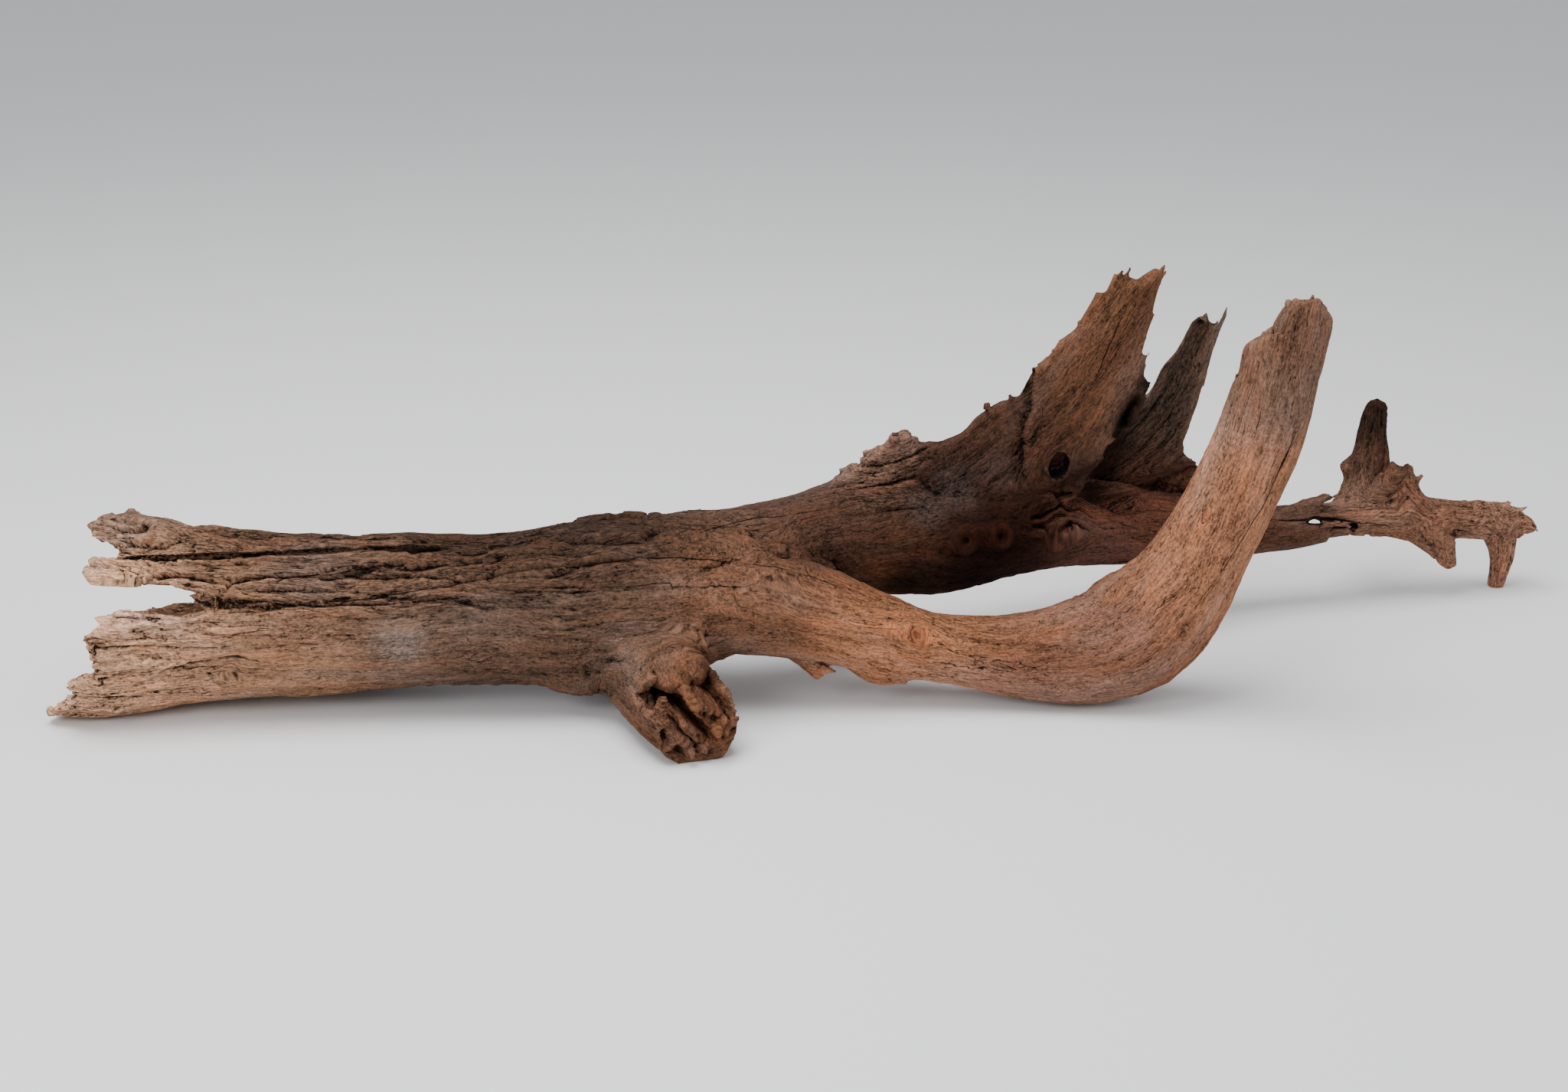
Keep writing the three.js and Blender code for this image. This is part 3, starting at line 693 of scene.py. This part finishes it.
grounded = rise(*GROUND_CALM, z)
tears = TEAR_MIDDLE + FINE_TEARS * pattern("fine tears") + BROAD_TEARS * pattern("broad tears")
points += normals * ((sink * girth_share - opened) * grounded)[:, None]
facing = eased((normals * way).sum(1), edges, FACING_TURNS)[:, 0]
points -= way * (np.clip(facing, -1, 1) * TEAR_LENGTH * tears * grounded
                 * np.clip(girth_share * TEAR_GIRTH + share["stub"], 0, MOST_TORN))[:, None]
low, high = np.array(cad_box[0]), np.array(cad_box[1])
write_mesh(wood.data, np.clip(points, low, high))


# Painted shade and light, worked out from its surface. Hollows get painted shade and ridges
# painted light, so each point keeps how far it lies below its neighbours, with its grain, its rot
# and its way to a crack. Most of it is found on the full mesh, and carried to the thinner one
# that is kept.
DIMPLE, VALLEY = (5, 0.0012), (60, 0.005)   # turns of easing, and the depth that counts as one
DIMPLE_SHARE = 0.6

points, normals, edges = read_mesh(wood.data)
dimple, valley = [((eased(points, edges, turns) - points) * normals).sum(1) / deep
                  for turns, deep in (DIMPLE, VALLEY)]
# How far each point lies below its neighbours, for painted shade in hollows and painted light on
# ridges.
hollow = np.clip(DIMPLE_SHARE * dimple, -1, 1) + np.clip(valley, -1, 1)
full = KDTree(len(points))
for index, point in enumerate(points):
    full.insert(point, index)
full.balance()

thin = wood.modifiers.new("thin", "DECIMATE")
thin.ratio = FACES_KEPT / (2 * len(wood.data.polygons))
bpy.ops.object.modifier_apply(modifier="thin")


def keep(name, kind, field, values):
    """Keeps a value for each point of the wood, where its material reads it."""
    wood.data.attributes.new(name, kind, "POINT").data.foreach_set(field, values.ravel())


points, normals, edges = read_mesh(wood.data)
points = np.clip(points, low, high)
write_mesh(wood.data, points)
match = np.array([full.find(point)[1] for point in points])
aside, beside = beside_cracks(points, normals, unbent[match])[1:]
keep("aside", "FLOAT", "value", aside)
keep("near", "FLOAT", "value", beside)
keep("grain", "FLOAT_VECTOR", "vector", grain[match])
keep("hollow", "FLOAT", "value", hollow[match])
keep("rotten", "FLOAT", "value", rotten[match])
keep("painted_hole_shade", "FLOAT", "value", knot_and_insect_hole_shade[match])


# Its colours, as seen in daylight: tan where the trunk has bleached, red-brown on the sound front
# branch, and dark on the back limb. Some tones are painted shade: under and in the fork, under the
# back limb, in the cleft between the slabs and beside the front slab, inside the knot hole, and in
# the stub's recess and on its far side. Each tone has its place, how far it reaches, and its red,
# green and blue as a screen shows them.
TONES = [("bleached end", (-700, -150, 60), 130, (184, 142, 113)),
         ("upper lobe", (-710, -80, 170), 70, (106, 82, 69)),
         ("low on the trunk", (-560, -160, 80), 110, (147, 110, 85)),
         ("middle of the trunk", (-400, -160, 90), 100, (98, 75, 61)),
         ("pale stain", (-430, -165, 88), 26, (128, 112, 104)),
         ("towards the fork", (-280, -150, 90), 110, (94, 72, 59)),
         ("rotten top", (-560, -90, 165), 110, (80, 60, 49)),
         ("fissured band", (-520, -135, 145), 55, (78, 60, 50)),
         ("shade under the fork", (120, -20, 106), 48, (16, 7, 4)),
         ("shade in the fork", (60, -35, 104), 30, (20, 9, 5)),
         ("shaded top", (-300, -60, 180), 130, (38, 27, 21)),
         ("fork", (-110, -150, 90), 90, (109, 77, 59)),
         ("front branch", (60, -140, 70), 110, (150, 101, 73)),
         ("front branch low", (160, -142, 50), 60, (112, 76, 57)),
         ("bow", (230, -140, 50), 110, (120, 82, 63)),
         ("branch in the light", (350, -140, 170), 100, (146, 101, 76)),
         ("branch tip", (405, -140, 400), 90, (108, 79, 63)),
         ("root of the back limb", (0, -50, 170), 90, (72, 52, 42)),
         ("flaky shoulder", (20, -10, 225), 50, (116, 88, 74)),
         # Painted shade under the back limb.
         ("painted shade, under the back limb", (110, 0, 140), 90, (40, 20, 12)),
         ("grey patch low", (76, -22, 178), 22, (80, 66, 60)),
         ("grey patch", (108, 0, 190), 28, (82, 68, 62)),
         ("grey patch high", (150, 13, 209), 22, (78, 63, 57)),
         # Painted shade in the cleft between the slabs, and beside the front slab.
         ("painted shade, cleft top", (300, 52, 286), 11, (24, 15, 11)),
         ("painted shade, cleft between the slabs", (291, 54, 267), 14, (18, 11, 8)),
         ("painted shade, cleft middle", (283, 57, 249), 16, (16, 10, 7)),
         ("shade beside the slab", (285, 122, 202), 24, (15, 10, 7)),
         ("shade, lower", (271, 118, 174), 22, (15, 10, 7)),
         ("shade, lowest", (256, 102, 153), 17, (18, 11, 8)),
         ("knot", (65, -128, 86), 12, (96, 62, 45)),
         # Painted shade inside the knot hole.
         ("painted shade, knot hole inside", (216, 70, 200), 38, (6, 4, 3)),
         ("knot once more, to count double", (65, -128, 86), 12, (96, 62, 45)),
         ("slab", (160, 20, 250), 80, (76, 54, 43)),
         ("slab tip", (260, 30, 320), 90, (102, 71, 53)),
         ("rear slab", (330, 120, 250), 90, (84, 68, 58)),
         ("behind the branch", (330, 100, 110), 110, (86, 55, 43)),
         ("stub", (-150, -200, 40), 60, (94, 63, 46)),
         # Painted shade in the stub's recess and on its far side.
         ("painted shade, the stub's recess", (-181, -184, 51), 17, (26, 16, 11)),
         ("painted shade, the stub's far side", (-134, -184, 69), 14, (20, 12, 9)),
         ("far limb", (600, 180, 95), 90, (118, 84, 66)),
         ("upright twig", (590, 225, 180), 62, (46, 33, 26)),
         ("far limb root", (500, 150, 98), 52, (80, 55, 42)),
         ("twig foot", (578, 200, 138), 34, (74, 52, 41)),
         ("far tip", (740, 215, 60), 70, (135, 98, 79)),
         ("back", (-300, 30, 60), 200, (88, 66, 53))]
TONE_GRIP = 2.2
SMALL_TONE = 45             # a tone that reaches less far than this counts for more
SCREEN_GAMMA = 2.2
FAINT, FAINTEST = 1e-6, 1e-9    # every tone counts a trace everywhere, and no sum is zero
# How much painted shade darkens the hollows, how much painted light lightens the ridges, and how
# much the fissures darken.
PAINTED_HOLLOW_SHADE, PAINTED_RIDGE_LIGHT, FISSURE_DARKENS = 0.85, 0.30, 0.8
# How light the wood stays at least, and under the painted shade in holes and in cracks.
LEAST_LIGHT, HOLE_LIGHT, CRACK_LIGHT = 0.05, 0.12, 0.10

tone, weight = np.zeros((len(points), 3)), np.full(len(points), FAINTEST)
for name, place, reach, colour in TONES:
    away = distance(points, place) / (reach / MM)
    pull = np.exp(-TONE_GRIP * away ** 2) * max(1, SMALL_TONE / reach) + FAINT
    tone += pull[:, None] * (np.array(colour) / 255) ** SCREEN_GAMMA
    weight += pull
keep("tone", "FLOAT_COLOR", "color", np.column_stack([tone / weight[:, None],
                                                      np.ones(len(points))]))

matter = bpy.data.materials.new("weathered_wood")
matter.use_nodes = True
tree = matter.node_tree
shader = tree.nodes["Principled BSDF"]
shader.inputs["Roughness"].default_value = 0.88
shader.inputs["Specular IOR Level"].default_value = 0.08


def node(kind, **settings):
    """A new node of the material, with its settings."""
    made = tree.nodes.new(kind)
    for key, value in settings.items():
        setattr(made, key, value)
    return made


def wire(value, socket):
    """Sets a socket to a number or a colour, or links another node's output to it."""
    if isinstance(value, (int, float, tuple)):
        socket.default_value = value
    else:
        tree.links.new(value, socket)


def maths(operation, *values):
    """The result of one sum on the values, each a number or another node's output."""
    made = node("ShaderNodeMath", operation=operation)
    for value, socket in zip(values, made.inputs):
        wire(value, socket)
    return made.outputs[0]


def spread(value, low, high, first=0.0, last=1.0):
    """From first where the value is low to last where it is high, smooth between."""
    made = node("ShaderNodeMapRange", interpolation_type="SMOOTHSTEP")
    for given, key in ((value, "Value"), (low, "From Min"), (high, "From Max"),
                       (first, "To Min"), (last, "To Max")):
        wire(given, made.inputs[key])
    return made.outputs["Result"]


def mixed(blend, factor, first, second):
    """Two colours mixed by a factor."""
    made = node("ShaderNodeMix", data_type="RGBA", blend_type=blend)
    wire(factor, made.inputs["Factor"])
    wire(first, made.inputs[6])
    wire(second, made.inputs[7])
    return made.outputs[2]


def kept(name, output="Fac"):
    """What the wood's points keep under a name."""
    return node("ShaderNodeAttribute", attribute_name=name).outputs[output]


fibre_at = kept("grain", "Vector")
base = kept("tone", "Color")
cavity_shade_at, decay, hole_shade_at = kept("hollow"), kept("rotten"), kept("painted_hole_shade")


def streaks(length, width, detail, warp=0.0):
    """Noise in the wood, long along the grain; length and width in metres."""
    scaled = node("ShaderNodeMapping")
    wire((1 / length, 1 / width, 1 / width), scaled.inputs["Scale"])
    wire(fibre_at, scaled.inputs["Vector"])
    made = node("ShaderNodeTexNoise")
    wire(1.0, made.inputs["Scale"])
    wire(detail, made.inputs["Detail"])
    wire(warp, made.inputs["Distortion"])
    wire(scaled.outputs[0], made.inputs["Vector"])
    return made.outputs["Fac"]


def thin_lines(length, width, thick):
    """Thin lines, where noise passes its middle; thick may be wired."""
    middle = maths("ABSOLUTE", maths("SUBTRACT", streaks(length, width, 1), 0.5))
    return spread(middle, 0.0, thick, 1.0, 0.0)


def lighter(pattern, change, low=0.25, high=0.75):
    """How a pattern lightens and darkens the wood, by as much either way."""
    return spread(pattern, low, high, -change, change)


# Each: its length, its width, its detail and, where it is crumbled, its warp.
bands = streaks(0.09, 0.010, 4)
threads = streaks(0.018, 0.0015, 3)
hairs = streaks(0.012, 0.0006, 2)
patches = streaks(0.16, 0.045, 4)
flecks = streaks(0.0065, 0.0022, 4, 0.6)
grit = streaks(0.0028, 0.0016, 2, 0.3)

# Fine pits, short cross breaks and seams along the grain, which open where the wood is rotten.
pits = maths("ADD", streaks(0.009, 0.0028, 3, 0.6), maths("MULTIPLY", patches, 0.12))
pits = maths("MULTIPLY", spread(pits, 0.71, 0.80), 0.7)
breaks = maths("MULTIPLY", thin_lines(0.0042, 0.016, 0.02),
               spread(streaks(0.05, 0.03, 2), 0.52, 0.62))
seam_thick = maths("ADD", 0.012, maths("MULTIPLY", decay, 0.016))
seams = maths("MULTIPLY", thin_lines(0.09, 0.0050, seam_thick),
              spread(streaks(0.05, 0.02, 1), 0.45, 0.62))
leaves = maths("MULTIPLY", thin_lines(0.055, 0.0032, 0.022), maths("MULTIPLY", decay, 0.75))
fissure = maths("MAXIMUM", maths("MAXIMUM", seams, leaves), pits)
fissure = maths("MAXIMUM", fissure, maths("MULTIPLY", breaks, 0.35))
# A dark line of painted shade along each crack.
crack_shade = maths("MULTIPLY", spread(maths("ABSOLUTE", kept("aside")), 0.7, 1.5, 1.0, 0.0),
              spread(kept("near"), 0.3, 0.6))

# How light the wood is, as a share of its tone: the patterns first, then the painted shade in
# hollows and cracks and the painted light on ridges.
light = lighter(bands, 0.26)
rougher = maths("ADD", maths("MULTIPLY", decay, 0.5), 1.0)
for layer in (lighter(threads, 0.26), lighter(grit, 0.34), lighter(hairs, 0.16),
              maths("MULTIPLY", lighter(flecks, 0.33), rougher),
              lighter(patches, 0.18, 0.3, 0.7)):
    light = maths("ADD", light, layer)
# Painted shade in the hollows, and painted light on the ridges.
light = maths("SUBTRACT", light, spread(cavity_shade_at, 0.0, 1.2, 0.0, PAINTED_HOLLOW_SHADE))
light = maths("ADD", light, spread(cavity_shade_at, -0.1, -1.2, 0.0, PAINTED_RIDGE_LIGHT))
light = maths("SUBTRACT", light, maths("MULTIPLY", fissure, FISSURE_DARKENS))
light = maths("MAXIMUM", maths("ADD", light, 1.0), LEAST_LIGHT)
# Painted shade inside the knot hole and the insect holes.
light = maths("MULTIPLY", light, spread(hole_shade_at, 0.15, 0.7, 1.0, HOLE_LIGHT))
# Painted shade along the cracks.
light = maths("MULTIPLY", light, spread(crack_shade, 0.0, 1.0, 1.0, CRACK_LIGHT))

washed = node("ShaderNodeHueSaturation")
washed.inputs["Saturation"].default_value = 0.55
wire(base, washed.inputs["Color"])
grey = mixed("MIX", spread(patches, 0.45, 0.70, 0.0, 0.40), base, washed.outputs[0])
red = mixed("MULTIPLY", spread(bands, 0.5, 0.75, 0.0, 0.7), grey, (1.15, 0.90, 0.78, 1))
lit = node("ShaderNodeVectorMath", operation="SCALE")
wire(red, lit.inputs[0])
wire(light, lit.inputs["Scale"])
wire(lit.outputs[0], shader.inputs["Base Color"])

# Each pattern also stands up from the wood, by its height in metres.
height = maths("MULTIPLY", bands, 0.0016)
for layer, tall in ((threads, 0.0010), (hairs, 0.0004), (flecks, 0.0011), (grit, 0.0005)):
    height = maths("ADD", height, maths("MULTIPLY", layer, tall))
height = maths("SUBTRACT", height, maths("MULTIPLY", fissure, 0.0012))
bump = node("ShaderNodeBump")
bump.inputs["Strength"].default_value = 1.0
bump.inputs["Distance"].default_value = 1.0
wire(height, bump.inputs["Height"])
wire(bump.outputs[0], shader.inputs["Normal"])

wood.data.materials.clear()
wood.data.materials.append(matter)
bpy.ops.object.shade_smooth()

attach(wood, "root")
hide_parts("driftwood")


# The floor and the light: a pale floor under a large soft overhead light, as for a shop photo.
# A second soft light stands in front on the left, and a weak one on the right.
FLOOR_SIZE = 30
FLOOR_PALE = (0.86, 0.86, 0.86, 1)
ROOM_PALE, ROOM_STRENGTH = (0.95, 0.97, 1.0, 1), 0.6
LIT_PLACE = (0, 0, 0.15)
# Each lamp: its place, its size, and its power in watts.
LAMPS = {"overhead": ((-0.5, -0.3, 2.6), 1.8, 80), "front_left": ((-2.0, -2.4, 1.8), 1.4, 42),
         "right": ((2.6, -0.8, 1.4), 1.4, 14)}

bpy.ops.mesh.primitive_plane_add(size=FLOOR_SIZE, location=(0, 0, 0))
floor = bpy.context.object
floor.name = "pale_floor"
pale = bpy.data.materials.new("pale_floor")
pale.use_nodes = True
pale.node_tree.nodes["Principled BSDF"].inputs["Base Color"].default_value = FLOOR_PALE
pale.node_tree.nodes["Principled BSDF"].inputs["Roughness"].default_value = 0.9
floor.data.materials.append(pale)

world = bpy.data.worlds.new("pale_room")
bpy.context.scene.world = world
world.use_nodes = True
world.node_tree.nodes["Background"].inputs["Color"].default_value = ROOM_PALE
world.node_tree.nodes["Background"].inputs["Strength"].default_value = ROOM_STRENGTH

for name, (place, size, power) in LAMPS.items():
    lamp = bpy.data.lights.new(name, "AREA")
    lamp.energy = power
    lamp.size = size
    holder = bpy.data.objects.new(name, lamp)
    bpy.context.scene.collection.objects.link(holder)
    holder.location = place
    aim = Vector(LIT_PLACE) - Vector(place)
    holder.rotation_euler = aim.to_track_quat("-Z", "Y").to_euler()


# The camera. A 50 mm lens about two metres in front of the wood and nearly one up, looking 20
# degrees down, as for the photo.
CAMERA_PLACE = (-0.065, -2.0735, 0.8845)
CAMERA_DOWN = 20

lens = bpy.data.cameras.new("camera")
lens.lens = 50
lens.sensor_width = 36
camera = bpy.data.objects.new("camera", lens)
bpy.context.scene.collection.objects.link(camera)
camera.location = CAMERA_PLACE
camera.rotation_euler = (math.radians(90 - CAMERA_DOWN), 0, 0)
bpy.context.scene.camera = camera
